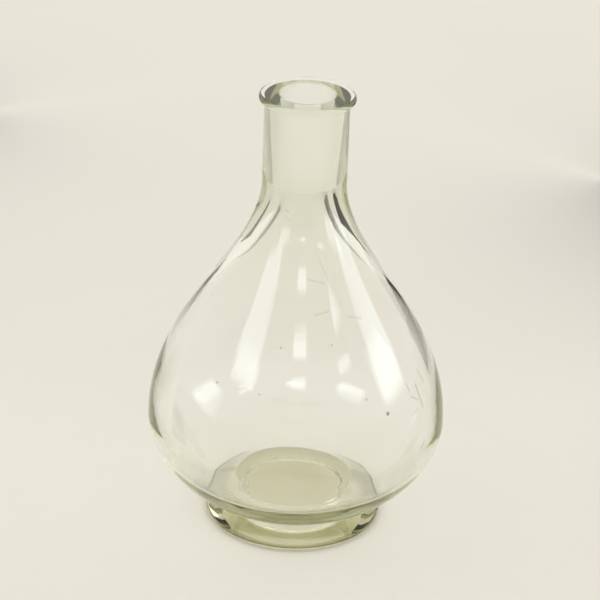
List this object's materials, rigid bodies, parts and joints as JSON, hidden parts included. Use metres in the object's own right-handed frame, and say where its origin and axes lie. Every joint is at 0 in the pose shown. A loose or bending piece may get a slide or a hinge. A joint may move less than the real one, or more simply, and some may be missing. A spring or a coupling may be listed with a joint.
{
  "type": "footed ground-neck flask",
  "caption": "Clear glass flask with a pear-shaped bulb, a flared foot, a beaded mouth and a ground tapered socket in its short neck.",
  "frame": {"origin": "on the axis, in the plane that the foot stands on", "axes": "+Z along the flask's axis, towards the mouth"},
  "size_m": [0.1322, 0.1322, 0.202],
  "materials": {
    "clear_glass": "blown and fire-polished, slightly olive soda-lime glass",
    "ground_glass": "ground matt on the tapered inside, fire-polished outside"
  },
  "bodies": {
    "root": {"bulb": "clear_glass", "ground_socket": "ground_glass", "lip_ring": "clear_glass", "foot": "clear_glass"}
  },
  "joints": []
}
